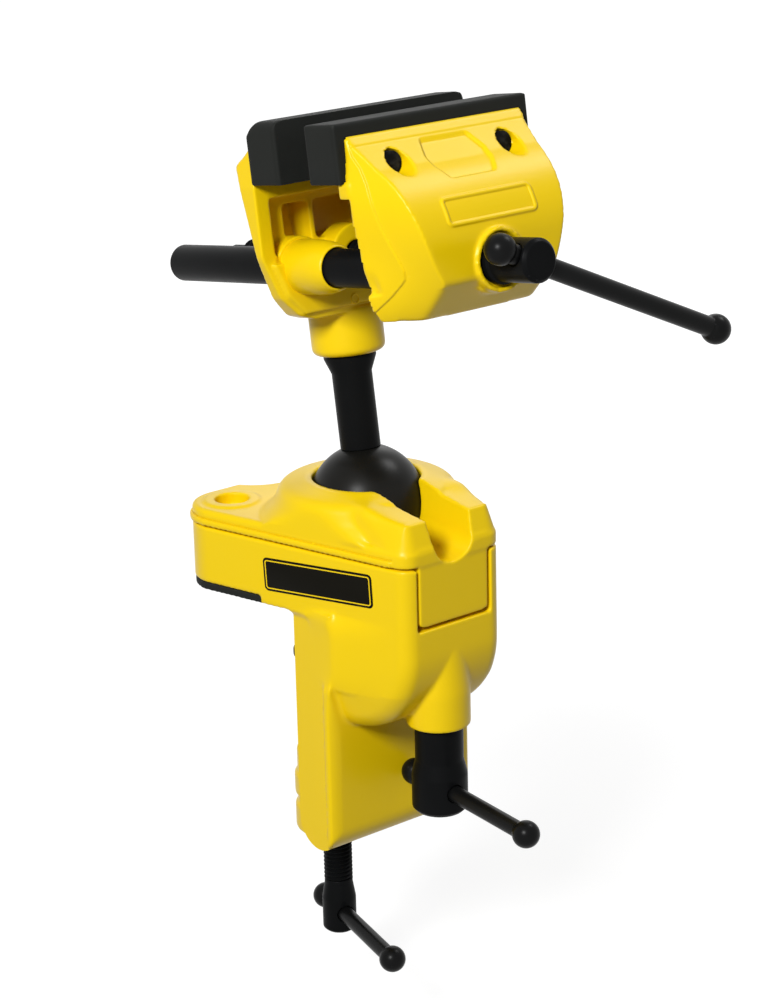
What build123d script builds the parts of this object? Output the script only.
from build123d import *
import math
import os

# Multi-angle bench vise on a table-edge clamp.
# Frame: X along the table edge, Y into the table, Z up, in millimetres.
# The origin is on the tabletop, where the column meets the table edge, mid-width.
# The head (post and jaws) has its own frame: origin at the ball's centre, Z along
# the post, Y away from the front jaw. It leans back by HEAD_LEAN at rest.

# ---------------------------------------------------------------- fits
RUN = 0.05            # radial clearance of turning and sliding fits
THREAD_PLAY = 0.05    # radial clearance of a screw in its threaded hole
LOCK_PLAY = 0.35      # looser thread of the lock screw, which lets the cover rock
BALL_PLAY = 0.2       # round the ball, in its seat and in its cover
TOUCH = 0.1           # between faces of two moving pieces that bear on each other

# ---------------------------------------------------------------- table clamp body
PAD_T = 2.5           # rubber table pad
PAD_FRONT = 11.0      # front edge of the pad; the body itself meets the table before it
BASE_TOP = 22.0       # parting plane under the ball cover
EAR_X, EAR_Y, EAR_R = 26.0, 35.5, 13.3
EAR_HOLE_R = 2.8      # bench screw hole through each ear
NOSE_Y, NOSE_HALF, NOSE_R = -47.5, 21.0, 6.0   # front face, half width, corner
BELLY_R = 30.0        # rounded underside of the nose, seen from the side
NOTCH_R, NOTCH_DEPTH = 15.0, 8.0               # rear edge between the ears
COLUMN_W, COLUMN_T, COLUMN_BOTTOM = 60.0, 19.0, -83.0
SHOULDER_R = 3.2      # where the column's sides run out into the tapered nose
ARM_HALF, ARM_TOP, ARM_BOTTOM = 11.0, -62.0, -82.0
ARM_BOSS_R, ARM_BOSS_RIM, ARM_BOSS_DROP = 13.0, 1.0, 10.0
ARM_RIMS = ((-79.0, -70.8), (-91.6, -82.2))    # two raised bands round the boss
CLAMP_Y = 17.5        # clamp screw axis behind the column's inner face
TABLE_T = 25.0        # table thickness in the pictured setting

# ---------------------------------------------------------------- ball and its cover
BALL_R = 19.0
BALL_Y, BALL_Z = -4.0, 31.4
COVER_GAP = 0.6       # parting gap between body and cover
COVER_TOP = 28.0      # flat top of the cover's ears
BEAD_H, BEAD_OUT = 2.0, 0.5
RIM_H, RIM_R, RIM_LAND = 9.0, 17.8, 2.0        # opening round the ball, above its centre
MOUND_R, MOUND_SHOULDER = 29.5, 6.0
CHEEK_DRAFT, NOSE_TOP_FRONT = 4.0, 4.7         # cheeks beside the slot: inset and top
SLOT_R, SLOT_DROP, SLOT_FLARE = 8.0, 2.0, 1.8  # slot for the post, when it leans forward
FLAP_HALF, FLAP_SIDE_GAP = 14.4, 0.9
FLAP_BOTTOM, FLAP_FLOOR_GAP = 2.0, 3.2
FLAP_T = 17.0
FLAP_SET_BACK = 0.3
RING_R, RING_H = 9.3, 0.7
CBORE_R, CBORE_T = 5.7, 3.0

# ---------------------------------------------------------------- lock screw
LOCK_Y, LOCK_R = -38.4, 5.0
LOCK_BOSS_R, LOCK_BOSS_BOTTOM, LOCK_BOSS_STRAIGHT = 10.5, -36.4, 12.0
LOCK_HOLE_CLEAR = 0.4
LOCK_COLLAR_R, LOCK_COLLAR_H = 8.0, 12.5
LOCK_CONE_H = 5.0
LOCK_HUB_R, LOCK_HUB_H = 9.25, 13.0
LOCK_BAR_DROP, LOCK_BAR_TURN = 22.4, -95.3

# ---------------------------------------------------------------- clamp screw
CLAMP_R = 5.0
CLAMP_HUB_R, CLAMP_HUB_TOP, CLAMP_HUB_H, CLAMP_CONE_H = 5.9, -119.4, 12.2, 5.8
CLAMP_BAR_Z, CLAMP_BAR_TURN = -124.3, -104.0
SWIVEL_R, SWIVEL_T, SWIVEL_BOSS_R, SWIVEL_BOSS_H = 13.0, 4.0, 7.5, 6.0
SWIVEL_PIN_R, SWIVEL_PIN_L = 3.5, 6.0

# ---------------------------------------------------------------- T-bars
SMALL_BAR_R, SMALL_BALL_R = 2.75, 4.5
SMALL_BAR_LONG, SMALL_BAR_SHORT = 47.0, 14.4   # ball centres from the screw's axis
CLAMP_BAR_LONG, CLAMP_BAR_SHORT = 43.0, 11.6
MAIN_BAR_R, MAIN_BALL_R = 3.2, 4.9
MAIN_BAR_LONG, MAIN_BAR_SHORT = 81.6, 12.0
MAIN_BAR_Y, MAIN_BAR_TURN = -92.6, -24.6
BALL_SOCKET = 3.0     # depth of a bar's end in its pressed-on ball

# ---------------------------------------------------------------- head, in its own frame
HEAD_LEAN = -8.33     # degrees about X; minus leans back over the table
POST_R, POST_FLARE_R = 6.6, 8.6
POST_FLARE_Z, POST_FLARE_H = 43.0, 5.0
POST_TENON_R, POST_TENON_DEPTH = 5.0, 10.0     # lower end, in the ball
COLLAR_R, COLLAR_BOTTOM = 12.0, 49.4
POST_TOP = 68.0
SCREW_Z = 81.2        # axis of the lead screw and of both guide rods
JAW_HALF = 37.5
JAW_TOP, JAW_TOP_HALF = 123.4, 34.4
PAD_BOTTOM = JAW_TOP - 14.4
PAD_HALF, PAD_THICK = JAW_HALF + 1.0, 14.8
REAR_PAD_TOP, FRONT_PAD_TOP = JAW_TOP + 5.1, JAW_TOP + 3.6
REAR_FACE = -25.5     # gripping face of the rear pad
OPENING = 15.0        # jaw opening in the pictured setting
PAD_EDGE = 1.0
REAR_PAD_BEVEL, FRONT_PAD_BEVEL = 4.5, 0.6
PAD_SCREW_X, PAD_SCREW_Z = 22.0, PAD_BOTTOM + 4.5
PAD_SCREW_R, PAD_SCREW_L, PAD_HEAD_R, PAD_HEAD_H = 2.0, 9.0, 3.6, 2.6
PAD_SCREW_WELL_R = 4.1

# ---------------------------------------------------------------- rear jaw
REAR_SEAT = REAR_FACE + PAD_THICK
REAR_END_Y, REAR_BULGE_Y = -5.0, 10.5
JAW_WALL = 5.5
REAR_BACK_WALL = 2.5
REAR_POCKET_Y = -5.0  # floor of the shallow pocket behind the rim
REAR_DRAFT = 11.5     # lean of the bulged back, degrees; it comes forward lower down
REAR_FLOOR_Z = 64.0
REAR_BROW_Z = JAW_TOP - 17.4   # where the sloping top meets the bulged back
POCKET_TOP = JAW_TOP - 19.4
GUIDE_X, GUIDE_R = 22.0, 6.0
GUIDE_BOSS_R, GUIDE_BOSS_FRONT = 9.7, -26.5
NUT_BOSS_R = 10.5
WELL_HIGH = POCKET_TOP - 3.0
WELLS = ((-23.4, -13.2, 84.0), (-11.2, 11.2, 88.5), (13.2, 23.4, 84.0))   # sides and bottom

# ---------------------------------------------------------------- front jaw
FRONT_SEAT = REAR_FACE - OPENING - PAD_THICK
FRONT_BACK = FRONT_SEAT - 1.8                  # back plane under the pad ledge
FRONT_FACE = -79.4
FRONT_FLOOR_Z = 65.6
LEDGE_H, LEDGE_OUT = 4.2, 2.4
FRONT_BOSS_R, FRONT_BOSS_RECESS_R, FRONT_BOSS_OUT = 9.9, 8.4, 1.2
END_REAR = ((28.5, FRONT_FLOOR_Z - 1), (32.2, 70.0), (34.4, 86.0), (36.4, JAW_TOP - 19.4),
            (35.2, JAW_TOP - 10.6), (JAW_TOP_HALF, JAW_TOP + 1))   # half width, height
END_FRONT = ((9.5, FRONT_FLOOR_Z - 1), (17.0, 70.0), (26.4, 86.0), (28.4, JAW_TOP - 19.4),
             (26.6, JAW_TOP - 10.6), (24.0, JAW_TOP + 1))          # the same, at the face
ROD_REAR, ROD_FRONT = 55.4, -66.0
ROD_END_CHAMFER = 1.0

# ---------------------------------------------------------------- lead screw
LEAD_R, LEAD_JOURNAL_R = 5.0, 4.5
LEAD_END, LEAD_PILOT_R, LEAD_PILOT_L = 56.3, 2.5, 11.0
HUB_R, HUB_END, HUB_FLANGE_R, HUB_FLANGE_H = 6.8, -97.9, 7.5, 3.0
CLIP_R, CLIP_T = 8.0, 1.6


# ================================================================ helpers
def upright(radius, low, high, x=0.0, y=0.0):
    """A cylinder along Z between two heights."""
    return Pos(x, y, (low + high) / 2) * Cylinder(radius, high - low)


def lying(radius, rear, front, x=0.0, z=0.0):
    """A cylinder along Y between two places."""
    middle = (rear + front) / 2
    return Pos(x, middle, z) * Rot(X=90) * Cylinder(radius, abs(rear - front))


def block(x0, x1, y0, y1, z0, z1):
    """A box given by its six sides."""
    centre = Pos((x0 + x1) / 2, (y0 + y1) / 2, (z0 + z1) / 2)
    return centre * Box(abs(x1 - x0), abs(y1 - y0), abs(z1 - z0))


def side_slab(face, half):
    """Extrudes a face drawn with (y, z) to both sides of the middle plane."""
    return extrude(Plane.YZ * face, amount=half, both=True)


def front_slab(face, rear, front):
    """Extrudes a face drawn with (x, z) from a rear to a front place along Y."""
    return extrude(Plane.XZ.offset(-rear) * face, amount=rear - front)


def polygon(*points):
    return make_face(Polyline(*points, close=True))


def mirror_points(points):
    """Closes a right-hand outline, given from the bottom up, with its mirror image."""
    return [*points, *[(-x, z) for x, z in reversed(points)]]


def turned(*points):
    """A solid of revolution about Z from (radius, height) points."""
    return revolve(Plane.XZ * polygon(*points), Axis.Z)


# ================================================================ clamp body
def plan(grow=0.0):
    """Outline of body and cover from above: two ears, tapered sides, rounded nose."""
    rounds = [(s * EAR_X, EAR_Y, EAR_R) for s in (-1, 1)]
    rounds += [(s * (NOSE_HALF - NOSE_R), NOSE_Y + NOSE_R, NOSE_R) for s in (-1, 1)]
    circles = [Pos(x, y) * Circle(r + grow) for x, y, r in rounds]
    hull = make_hull([edge for circle in circles for edge in circle.edges()])
    notch_y = EAR_Y + EAR_R - NOTCH_DEPTH + NOTCH_R
    return hull - Pos(0, notch_y) * Circle(NOTCH_R - grow)


def side_x(y):
    """Half width of the tapered side, on the line that touches ear and nose corner."""
    dx, dy = NOSE_HALF - NOSE_R - EAR_X, NOSE_Y + NOSE_R - EAR_Y
    span = math.hypot(dx, dy)
    tilt = math.atan2(dy, dx) + math.acos((EAR_R - NOSE_R) / span)
    nx, ny = math.cos(tilt), math.sin(tilt)
    return (nx * EAR_X + ny * EAR_Y + EAR_R - ny * y) / nx


def ear_places():
    return [Pos(s * EAR_X, EAR_Y) for s in (-1, 1)]


def ball_space():
    return Pos(0, BALL_Y, BALL_Z) * Sphere(BALL_R + BALL_PLAY)


def clamp_body():
    belly_y, belly_z = NOSE_Y + BELLY_R, BASE_TOP - BELLY_R
    deck = Pos(0, 0, PAD_T) * extrude(plan(), amount=BASE_TOP - PAD_T)
    land = extrude(plan(), amount=PAD_T) & block(-COLUMN_W, COLUMN_W, -COLUMN_T, PAD_FRONT,
                                                 0, PAD_T)
    deck += land

    profile = Pos(belly_y, belly_z) * Circle(BELLY_R)
    profile += Pos(0, (belly_z + BASE_TOP) / 2) * Rectangle(2 * -NOSE_Y, BASE_TOP - belly_z)
    wide, narrow = side_x(0), side_x(NOSE_Y)
    taper = polygon((-wide, 0), (-narrow, NOSE_Y), (narrow, NOSE_Y), (wide, 0))
    nose = Pos(0, 0, belly_z - BELLY_R) * extrude(taper, amount=BASE_TOP - belly_z + BELLY_R)
    nose &= side_slab(profile, COLUMN_W)
    belly = [e for e in nose.edges() if abs(e.center().X) > NOSE_R
             and e.center().Y < -COLUMN_T and e.center().Z < BASE_TOP - 1]
    nose = fillet(belly, NOSE_R)

    column = block(-COLUMN_W / 2, COLUMN_W / 2, -COLUMN_T, 0, COLUMN_BOTTOM, PAD_T)
    low = column.edges().filter_by(Axis.X).group_by(Axis.Z)[0]
    column = fillet(low, COLUMN_T / 2 - 0.1)
    column = fillet(column.edges().filter_by(Axis.Y).group_by(Axis.Z)[-1], SHOULDER_R)

    arm = block(-ARM_HALF, ARM_HALF, -COLUMN_T / 2, CLAMP_Y, ARM_BOTTOM, ARM_TOP)
    boss_low = ARM_BOTTOM - ARM_BOSS_DROP
    arm += upright(ARM_BOSS_R, boss_low, ARM_TOP, 0, CLAMP_Y)
    for low, high in ARM_RIMS:
        ring = upright(ARM_BOSS_R + ARM_BOSS_RIM, low, high, 0, CLAMP_Y)
        arm += fillet(ring.edges(), 0.8)

    body = deck + nose + column + arm
    boss_neck = LOCK_BOSS_BOTTOM + LOCK_BOSS_STRAIGHT
    body += upright(LOCK_BOSS_R, LOCK_BOSS_BOTTOM, boss_neck, 0, LOCK_Y)
    body += Pos(0, LOCK_Y, (boss_neck + belly_z) / 2) * Cone(
        LOCK_BOSS_R, LOCK_Y - NOSE_Y, belly_z - boss_neck)

    cavity_half = FLAP_HALF + FLAP_SIDE_GAP
    flap_back = NOSE_Y + FLAP_SET_BACK + FLAP_T
    cavity = block(-cavity_half, cavity_half, NOSE_Y - 2, flap_back + 1.4,
                   FLAP_BOTTOM - FLAP_FLOOR_GAP, BASE_TOP + 1)
    cavity = fillet(cavity.edges().filter_by(Axis.Y).group_by(Axis.Z)[0], 3.0)
    body -= cavity
    body -= ball_space()
    body -= upright(LOCK_R + LOCK_HOLE_CLEAR, LOCK_BOSS_BOTTOM - 1, BASE_TOP, 0, LOCK_Y)
    body -= upright(CLAMP_R + THREAD_PLAY, boss_low - 1, ARM_TOP + 1, 0, CLAMP_Y)
    for place in ear_places():
        body -= place * upright(EAR_HOLE_R, 0, BASE_TOP + 1)
    return body


def table_pad():
    """Rubber pad under the deck, from the body's own land back to the ears."""
    pad = extrude(plan(-0.2), amount=PAD_T)
    pad -= block(-COLUMN_W, COLUMN_W, NOSE_Y - 1, PAD_FRONT, -1, PAD_T + 1)
    for place in ear_places():
        pad -= place * upright(EAR_HOLE_R + 1.0, -1, PAD_T + 1)
    return pad


# ================================================================ ball cover
def ball_cover():
    bottom = BASE_TOP + COVER_GAP
    plate = Pos(0, 0, bottom) * extrude(plan(), amount=COVER_TOP - bottom)
    plate = fillet(plate.faces().sort_by(Axis.Z)[-1].outer_wire().edges(), 1.5)
    bead = Pos(0, 0, bottom) * extrude(plan(BEAD_OUT), amount=BEAD_H)
    bead &= block(-COLUMN_W, COLUMN_W, NOSE_Y + NOSE_R, EAR_Y + 2 * EAR_R, bottom, BASE_TOP + 9)

    rise = COVER_TOP - BALL_Z
    mound = turned((0, rise - 2), (MOUND_R + 8, rise - 2), (MOUND_R + 5, rise + 0.6),
                   (MOUND_R + 1, rise + 4.5), (MOUND_R - 0.6, MOUND_SHOULDER),
                   (MOUND_R - 2.6, MOUND_SHOULDER + 1.3), (RIM_R + 2, RIM_H), (0, RIM_H))
    mound = Pos(0, BALL_Y, BALL_Z) * mound

    top_rear, top_front = BALL_Z + MOUND_SHOULDER + 1.5, BALL_Z + NOSE_TOP_FRONT
    cheeks = loft([Pos(0, 0, COVER_TOP - 2) * plan(), Pos(0, 0, top_rear) * plan(-CHEEK_DRAFT)])
    cheeks &= block(-COLUMN_W, COLUMN_W, NOSE_Y, BALL_Y, COVER_TOP - 2, top_rear)
    crest = polygon((BALL_Y, COVER_TOP - 3), (NOSE_Y, COVER_TOP - 3), (NOSE_Y, top_front - 2),
                    (NOSE_Y + 3.0, top_front), (BALL_Y - RIM_R, top_rear), (BALL_Y, top_rear))
    cheeks &= side_slab(crest, NOSE_HALF)

    shell = (mound + cheeks) & (Pos(0, 0, bottom) * extrude(plan(), amount=40))
    flap_front = NOSE_Y + FLAP_SET_BACK
    flap = block(-FLAP_HALF, FLAP_HALF, flap_front, flap_front + FLAP_T, FLAP_BOTTOM, COVER_TOP)
    flap = fillet(flap.edges().filter_by(Axis.Y).group_by(Axis.Z)[0], 2.2)
    cover = plate + bead + shell + flap

    # rocking rib between the ears: the cover tips on it when the lock screw is slack
    rib_y = rock_axis_y()
    cover += block(-EAR_X / 2, EAR_X / 2, rib_y - 1, rib_y + 1, BASE_TOP + TOUCH, bottom + 1)

    cover -= ball_space()
    cover -= upright(RIM_R, BALL_Z + RIM_H - RIM_LAND, BALL_Z + RIM_H + 1, 0, BALL_Y)
    slot_z = BALL_Z - SLOT_DROP
    slot = Pos(0, slot_z) * Circle(SLOT_R)
    slot += polygon(*mirror_points([(SLOT_R, slot_z), (SLOT_R + SLOT_FLARE, BALL_Z + RIM_H + 2)]))
    cover -= front_slab(slot, BALL_Y, NOSE_Y - 2)
    cover -= upright(LOCK_R + LOCK_PLAY, FLAP_BOTTOM - 1, lock_tip_z() + 0.8, 0, LOCK_Y)
    for place in ear_places():
        cover += place * upright(RING_R, COVER_TOP - 1, COVER_TOP + RING_H)
        cover -= place * upright(CBORE_R, COVER_TOP + RING_H - CBORE_T, COVER_TOP + 9)
        cover -= place * upright(EAR_HOLE_R, BASE_TOP, COVER_TOP + 9)
    return cover


def rock_axis_y():
    return EAR_Y + EAR_R - NOTCH_DEPTH - 3.0


def lock_tip_z():
    """Top of the lock screw, in solid metal under the slot's floor."""
    return BALL_Z - SLOT_DROP - SLOT_R - 2.0


# ================================================================ T-bars
def bar_along_x(radius, ball_r, long_side, short_side):
    """Bar with the ball forged on its long side; the short side takes a pressed ball."""
    end = -short_side + ball_r - BALL_SOCKET
    bar = Pos((long_side + end) / 2, 0, 0) * Rot(Y=90) * Cylinder(radius, long_side - end)
    return bar + Pos(long_side, 0, 0) * Sphere(ball_r)


def ball_on_x(radius, ball_r, short_side):
    ball = Pos(-short_side, 0, 0) * Sphere(ball_r)
    depth = BALL_SOCKET
    start = -short_side + ball_r - depth
    return ball - Pos(start + depth, 0, 0) * Rot(Y=90) * Cylinder(radius, 2 * depth)


def small_bar(turn, y, z, long_side, short_side):
    place = Pos(0, y, z) * Rot(Z=turn)
    return (place * bar_along_x(SMALL_BAR_R, SMALL_BALL_R, long_side, short_side),
            place * ball_on_x(SMALL_BAR_R, SMALL_BALL_R, short_side))


def cross_hole(turn, y, z, radius=SMALL_BAR_R):
    return Pos(0, y, z) * Rot(Z=turn) * Rot(Y=90) * Cylinder(radius + RUN, 60)


# ================================================================ lock screw
def lock_screw():
    top = LOCK_BOSS_BOTTOM - TOUCH
    collar_low = top - LOCK_COLLAR_H
    hub_top = collar_low - LOCK_CONE_H
    hub_low = hub_top - LOCK_HUB_H
    body = turned((0, hub_low), (LOCK_HUB_R - 1.5, hub_low), (LOCK_HUB_R, hub_low + 1.5),
                  (LOCK_HUB_R, hub_top), (LOCK_COLLAR_R, collar_low), (LOCK_COLLAR_R, top),
                  (LOCK_R, top), (LOCK_R, lock_tip_z() - 1), (LOCK_R - 1, lock_tip_z()),
                  (0, lock_tip_z()))
    screw = Pos(0, LOCK_Y, 0) * body
    return screw - cross_hole(LOCK_BAR_TURN, LOCK_Y, top - LOCK_BAR_DROP)


# ================================================================ clamp screw and swivel
def clamp_screw():
    hub_top, hub_low = CLAMP_HUB_TOP, CLAMP_HUB_TOP - CLAMP_HUB_H
    swivel_low = -TABLE_T - SWIVEL_T - SWIVEL_BOSS_H
    body = turned((0, hub_low), (CLAMP_HUB_R - 1, hub_low), (CLAMP_HUB_R, hub_low + 1),
                  (CLAMP_HUB_R, hub_top), (CLAMP_R, hub_top + CLAMP_CONE_H),
                  (CLAMP_R, swivel_low - TOUCH), (SWIVEL_PIN_R, swivel_low - TOUCH),
                  (SWIVEL_PIN_R, swivel_low + SWIVEL_PIN_L), (0, swivel_low + SWIVEL_PIN_L))
    screw = Pos(0, CLAMP_Y, 0) * body
    return screw - cross_hole(CLAMP_BAR_TURN, CLAMP_Y, CLAMP_BAR_Z)


def clamp_swivel():
    top = -TABLE_T
    boss_low = top - SWIVEL_T - SWIVEL_BOSS_H
    body = turned((0, boss_low), (SWIVEL_BOSS_R - 0.8, boss_low), (SWIVEL_BOSS_R, boss_low + 0.8),
                  (SWIVEL_BOSS_R, top - SWIVEL_T), (SWIVEL_R - 1, top - SWIVEL_T),
                  (SWIVEL_R, top - SWIVEL_T + 1), (SWIVEL_R, top - 1), (SWIVEL_R - 1, top),
                  (0, top))
    body -= upright(SWIVEL_PIN_R + RUN, boss_low - 1, boss_low + SWIVEL_PIN_L + TOUCH)
    return Pos(0, CLAMP_Y, 0) * body


# ================================================================ ball and post
def in_head(part):
    return Pos(0, BALL_Y, BALL_Z) * Rot(X=HEAD_LEAN) * part


def tenon_low():
    return math.sqrt(BALL_R ** 2 - POST_R ** 2) - POST_TENON_DEPTH


def ball():
    seat = math.sqrt(BALL_R ** 2 - POST_R ** 2)
    body = Sphere(BALL_R) - upright(BALL_R, seat, BALL_R + 1)
    return body - upright(POST_TENON_R + RUN, tenon_low() - TOUCH, BALL_R + 1)


def post():
    seat = math.sqrt(BALL_R ** 2 - POST_R ** 2) + TOUCH
    flare = POST_FLARE_Z + POST_FLARE_H
    return turned((0, tenon_low()), (POST_TENON_R, tenon_low()), (POST_TENON_R, seat),
                  (POST_R, seat), (POST_R, POST_FLARE_Z), (POST_FLARE_R, flare),
                  (POST_FLARE_R, COLLAR_BOTTOM), (POST_R, COLLAR_BOTTOM), (POST_R, POST_TOP),
                  (0, POST_TOP))


# ================================================================ jaw pads
def jaw_pad(face, outward, top, bevel):
    """Rubber block; its gripping face is at `face` and it thickens by `outward`."""
    back = face + outward * PAD_THICK
    pad = block(-PAD_HALF, PAD_HALF, face, back, PAD_BOTTOM, top)
    upper = pad.edges().filter_by(Axis.X).group_by(Axis.Z)[-1]
    far = max(upper, key=lambda e: outward * e.center().Y)
    pad = chamfer(far, bevel)
    pad = fillet(pad.edges().filter_by(Axis.Z), PAD_EDGE)
    for s in (-1, 1):
        tip = back - outward * (PAD_SCREW_L - JAW_WALL / 2)
        pad -= lying(PAD_SCREW_R, back, tip, s * PAD_SCREW_X, PAD_SCREW_Z)
    return pad


def pad_screw(seat, outward, x):
    """Pan-head screw: the head bears on the casting, the shank ends in the pad."""
    under = seat + outward * JAW_WALL / 2
    tip = seat - outward * (PAD_SCREW_L - JAW_WALL / 2)
    screw = lying(PAD_SCREW_R, under, tip, x, PAD_SCREW_Z)
    head = lying(PAD_HEAD_R, under, under + outward * PAD_HEAD_H, x, PAD_SCREW_Z)
    return screw + head


def pad_screw_space(seat, outward, x, end):
    under = seat + outward * JAW_WALL / 2
    return (lying(PAD_SCREW_R, seat - outward, under, x, PAD_SCREW_Z)
            + lying(PAD_SCREW_WELL_R, under, end, x, PAD_SCREW_Z))


# ================================================================ rear jaw
def shield(inset=0.0):
    """Outline of the rear jaw from the front: wide under the pad, narrow at the stem."""
    face = polygon(*mirror_points([(19.0, REAR_FLOOR_Z), (25.5, 66.0), (32.0, 72.5),
                                   (JAW_HALF, 86.0), (JAW_HALF, 108.0),
                                   (JAW_TOP_HALF, JAW_TOP)]))
    face = fillet(face.vertices().filter_by(lambda v: 65 < v.Y < 110), 5.0)
    return offset(face, amount=-inset) if inset else face


def rear_body(inset=0.0):
    """Body with a straight front and a back that bulges over the stem and leans."""
    end, bulge = REAR_END_Y - inset / 2, REAR_BULGE_Y - inset
    half = JAW_HALF + 1
    front = REAR_SEAT - 40
    edges = [Line((-half, front), (half, front)), Line((half, front), (half, end)),
             ThreePointArc((half, end), (0, bulge), (-half, end)),
             Line((-half, end), (-half, front))]
    upright_body = extrude(make_face(edges), amount=50, both=True)
    pivot = Pos(0, REAR_END_Y, POCKET_TOP)
    return pivot * Rot(X=-REAR_DRAFT) * Pos(0, -REAR_END_Y, 0) * upright_body


def rear_jaw():
    jaw = front_slab(shield(), REAR_BULGE_Y + 1, REAR_SEAT) & rear_body()
    slope = polygon((REAR_SEAT - 1, JAW_TOP + 1), (REAR_SEAT + 1, JAW_TOP + 1),
                    (REAR_SEAT + 3.6, JAW_TOP - 3.6), (REAR_BULGE_Y + 1, REAR_BROW_Z),
                    (REAR_BULGE_Y + 1, REAR_FLOOR_Z - 1), (REAR_SEAT - 1, REAR_FLOOR_Z - 1))
    jaw &= side_slab(slope, JAW_HALF)

    hollow = front_slab(shield(JAW_WALL), REAR_POCKET_Y, REAR_SEAT - 1)
    jaw -= hollow & block(-JAW_HALF, JAW_HALF, -60, 60, REAR_FLOOR_Z, POCKET_TOP)
    inner = rear_body(REAR_BACK_WALL)
    for low, high, bottom in WELLS:
        well = block(low, high, REAR_SEAT, REAR_BULGE_Y, bottom, WELL_HIGH)
        jaw -= fillet(well.edges().filter_by(Axis.Y), 1.5) & inner
    collar = upright(COLLAR_R, COLLAR_BOTTOM, REAR_FLOOR_Z + 1)
    jaw += fillet(collar.edges().group_by(Axis.Z)[0], 2.5)
    socket = chamfer(upright(COLLAR_R, REAR_FLOOR_Z, POST_TOP + 6).edges().group_by(Axis.Z)[-1], 4.0)
    jaw += socket & block(-COLLAR_R, COLLAR_R, REAR_SEAT, COLLAR_R, 0, JAW_TOP)

    for s in (-1, 1):
        boss = lying(GUIDE_BOSS_R, REAR_POCKET_Y + 3, GUIDE_BOSS_FRONT, s * GUIDE_X, SCREW_Z)
        jaw += fillet(boss.edges().group_by(Axis.Y)[0], 1.0)
    jaw += lying(NUT_BOSS_R, REAR_POCKET_Y + 3, REAR_SEAT, 0, SCREW_Z)
    for s in (-1, 1):
        jaw -= lying(GUIDE_R + RUN, 30, GUIDE_BOSS_FRONT - 1, s * GUIDE_X, SCREW_Z)
        jaw -= pad_screw_space(REAR_SEAT, 1, s * PAD_SCREW_X, REAR_BULGE_Y + 2)
    jaw -= lying(LEAD_R + THREAD_PLAY, 30, REAR_SEAT - 1, 0, SCREW_Z)
    jaw -= upright(POST_R, COLLAR_BOTTOM - 1, POST_TOP)
    return jaw


# ================================================================ front jaw
def front_profile():
    """Side outline of the front jaw: bevel, sloping top, rounded face, chamfered foot."""
    top = (FRONT_SEAT, JAW_TOP)
    bevel = (FRONT_SEAT - 2.6, JAW_TOP - 3.6)
    brow = (FRONT_SEAT - 10.6, JAW_TOP - 11.2)
    cheek = (FRONT_SEAT - 20.6, JAW_TOP - 22.4)
    chin = (FRONT_FACE, SCREW_Z + 5.8)
    foot = (FRONT_FACE, SCREW_Z - 4.2)
    sole = (FRONT_FACE + 12.5, FRONT_FLOOR_Z)
    heel = (FRONT_BACK, FRONT_FLOOR_Z + 1.0)
    edges = [Line(top, bevel), Line(bevel, brow), ThreePointArc(brow, cheek, chin),
             Line(chin, foot), Line(foot, sole), Line(sole, heel),
             Line(heel, (FRONT_BACK, PAD_BOTTOM - LEDGE_H)),
             Line((FRONT_BACK, PAD_BOTTOM - LEDGE_H), (FRONT_SEAT, PAD_BOTTOM - LEDGE_H)),
             Line((FRONT_SEAT, PAD_BOTTOM - LEDGE_H), top)]
    face = make_face(edges)
    return fillet([v for v in face.vertices() if v.Y < 80 and v.X < FRONT_BACK - 5], 3.0)


def end_outline(y, inset=0.0):
    """Front view of the jaw at one depth; its curved ends close in towards the face."""
    share = (FRONT_BACK - y) / (FRONT_BACK - FRONT_FACE)
    side = [(r + (f - r) * share - inset, z) for (r, z), (f, _) in zip(END_REAR, END_FRONT)]
    right = [(x, y, z) for x, z in side]
    left = [(-x, y, z) for x, z in side]
    return make_face([Spline(*right), Line(right[-1], left[-1]), Spline(*reversed(left)),
                      Line(left[0], right[0])])


def end_walls(inset=0.0):
    """Everything between the jaw's two curved ends."""
    walls = loft([end_outline(FRONT_BACK, inset), end_outline(FRONT_FACE - 4, inset)], ruled=True)
    straight = extrude(end_outline(FRONT_BACK, inset), amount=4, dir=(0, 1, 0))
    return walls + straight


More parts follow.
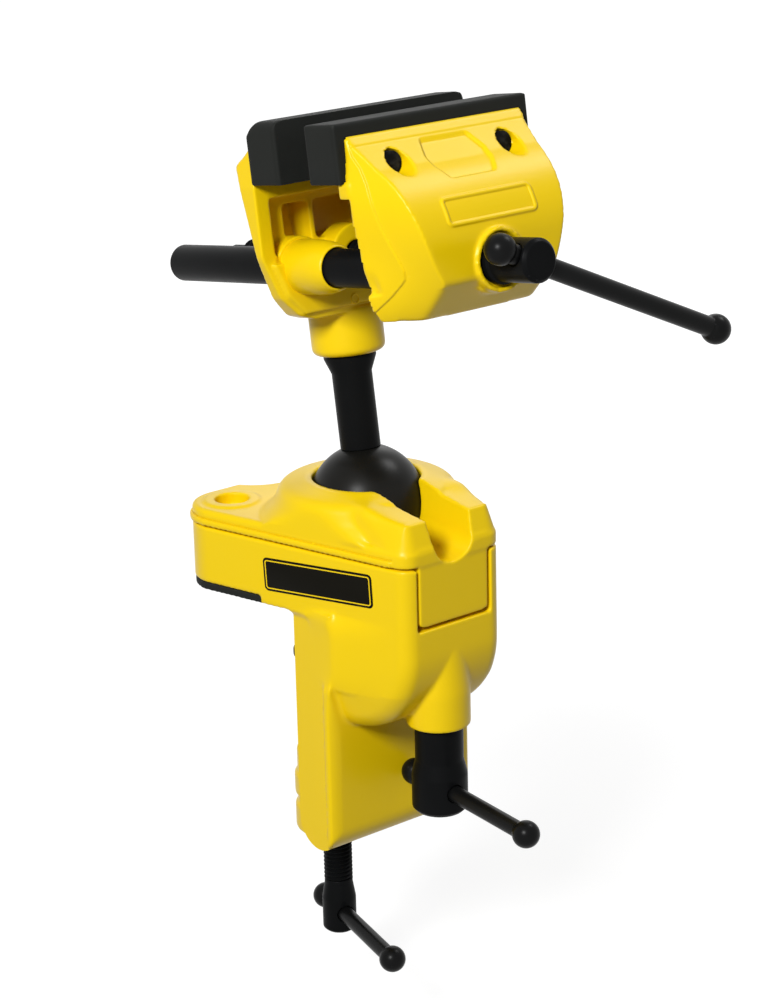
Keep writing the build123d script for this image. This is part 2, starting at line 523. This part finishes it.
def front_jaw():
    profile = front_profile()
    outside = side_slab(profile, JAW_HALF) & end_walls()
    jaw = outside + block(-JAW_HALF + 1, JAW_HALF - 1, FRONT_BACK, FRONT_SEAT + LEDGE_OUT,
                          PAD_BOTTOM - LEDGE_H, PAD_BOTTOM)

    hollow = side_slab(offset(profile, amount=-JAW_WALL), JAW_HALF)
    hollow += Pos(0, JAW_WALL + 2, 0) * hollow
    hollow &= end_walls(JAW_WALL)
    hollow &= block(-JAW_HALF, JAW_HALF, FRONT_FACE, FRONT_SEAT + 1,
                    FRONT_FLOOR_Z + JAW_WALL, POCKET_TOP - 1)
    jaw -= hollow

    for s in (-1, 1):
        jaw += outside & lying(GUIDE_BOSS_R, FRONT_BACK, FRONT_FACE + 3, s * GUIDE_X, SCREW_Z)
    jaw += lying(NUT_BOSS_R, FRONT_BACK, FRONT_FACE + 3, 0, SCREW_Z)
    jaw += lying(FRONT_BOSS_R, FRONT_FACE + 3, FRONT_FACE - FRONT_BOSS_OUT, 0, SCREW_Z)
    jaw -= lying(FRONT_BOSS_RECESS_R, FRONT_FACE + 1, FRONT_FACE - 5, 0, SCREW_Z)
    jaw -= lying(LEAD_JOURNAL_R + RUN, FRONT_BACK + 9, FRONT_FACE - 5, 0, SCREW_Z)
    jaw -= lying(CLIP_R + 0.5, FRONT_BACK + 9, clip_front(), 0, SCREW_Z)
    for s in (-1, 1):
        jaw -= lying(GUIDE_R, 0, ROD_FRONT, s * GUIDE_X, SCREW_Z)
        jaw -= pad_screw_space(FRONT_SEAT, -1, s * PAD_SCREW_X, FRONT_FACE - 5)
    return jaw


def clip_front():
    """Front face of the clip that keeps the lead screw in the front jaw."""
    return FRONT_FACE + 9.0


def guide_rod(s):
    rod = lying(GUIDE_R, ROD_REAR, ROD_FRONT, s * GUIDE_X, SCREW_Z)
    return chamfer(rod.edges().group_by(Axis.Y)[-1], ROD_END_CHAMFER)


# ================================================================ lead screw
def lead_screw():
    """Drawn about Z from the hub's end, then laid along Y on the screw axis."""
    seat = FRONT_FACE + 1 - TOUCH
    def h(y):
        return y - HUB_END
    shape = turned((0, 0), (HUB_R - 1.2, 0), (HUB_R, 1.2), (HUB_R, h(seat - HUB_FLANGE_H)),
                   (HUB_FLANGE_R, h(seat - HUB_FLANGE_H)), (HUB_FLANGE_R, h(seat)),
                   (LEAD_JOURNAL_R, h(seat)), (LEAD_JOURNAL_R, h(clip_front() + CLIP_T)),
                   (LEAD_R, h(clip_front() + CLIP_T)), (LEAD_R, h(LEAD_END - LEAD_PILOT_L)),
                   (LEAD_PILOT_R, h(LEAD_END - LEAD_PILOT_L)), (LEAD_PILOT_R, h(LEAD_END)),
                   (0, h(LEAD_END)))
    screw = Pos(0, HUB_END, SCREW_Z) * Rot(X=-90) * shape
    return screw - main_bar_place() * Rot(Y=90) * Cylinder(MAIN_BAR_R + RUN, 60)


def screw_clip():
    ring = lying(CLIP_R, clip_front() + TOUCH, clip_front() + CLIP_T, 0, SCREW_Z)
    return ring - lying(LEAD_JOURNAL_R, 0, FRONT_FACE, 0, SCREW_Z)


def main_bar_place():
    return Pos(0, MAIN_BAR_Y, SCREW_Z) * Rot(Y=-MAIN_BAR_TURN)


# ================================================================ all pieces
def all_parts():
    lock_bar_z = LOCK_BOSS_BOTTOM - TOUCH - LOCK_BAR_DROP
    lock_bar, lock_knob = small_bar(LOCK_BAR_TURN, LOCK_Y, lock_bar_z,
                                    SMALL_BAR_LONG, SMALL_BAR_SHORT)
    clamp_bar, clamp_knob = small_bar(CLAMP_BAR_TURN, CLAMP_Y, CLAMP_BAR_Z,
                                      CLAMP_BAR_LONG, CLAMP_BAR_SHORT)
    main_bar = bar_along_x(MAIN_BAR_R, MAIN_BALL_R, MAIN_BAR_LONG, MAIN_BAR_SHORT)
    main_knob = ball_on_x(MAIN_BAR_R, MAIN_BALL_R, MAIN_BAR_SHORT)
    parts = {
        "clamp_body": clamp_body(),
        "table_pad": table_pad(),
        "ball_cover": ball_cover(),
        "lock_screw": lock_screw(),
        "lock_bar": lock_bar,
        "lock_bar_ball": lock_knob,
        "clamp_swivel": clamp_swivel(),
        "clamp_screw": clamp_screw(),
        "clamp_bar": clamp_bar,
        "clamp_bar_ball": clamp_knob,
    }
    head = {
        "ball": ball(),
        "post": post(),
        "rear_jaw": rear_jaw(),
        "rear_pad": jaw_pad(REAR_FACE, 1, REAR_PAD_TOP, REAR_PAD_BEVEL),
        "front_jaw": front_jaw(),
        "front_pad": jaw_pad(REAR_FACE - OPENING, -1, FRONT_PAD_TOP,
                             FRONT_PAD_BEVEL),
        "guide_rod_left": guide_rod(-1),
        "guide_rod_right": guide_rod(1),
        "lead_screw": lead_screw(),
        "screw_clip": screw_clip(),
        "main_bar": main_bar_place() * main_bar,
        "main_bar_ball": main_bar_place() * main_knob,
    }
    for side, s in (("left", -1), ("right", 1)):
        head[f"rear_pad_screw_{side}"] = pad_screw(REAR_SEAT, 1, s * PAD_SCREW_X)
        head[f"front_pad_screw_{side}"] = pad_screw(FRONT_SEAT, -1, s * PAD_SCREW_X)
    for name, part in head.items():
        parts[name] = in_head(part)
    return parts


os.makedirs("parts", exist_ok=True)
for part_name, part_shape in all_parts().items():
    solids = part_shape.solids()
    solid = solids[0] if len(solids) == 1 else Compound(children=list(solids))
    export_step(solid, f"parts/{part_name}.step")
    print(part_name, len(solids), round(sum(s.volume for s in solids) / 1000, 2), "cm3")
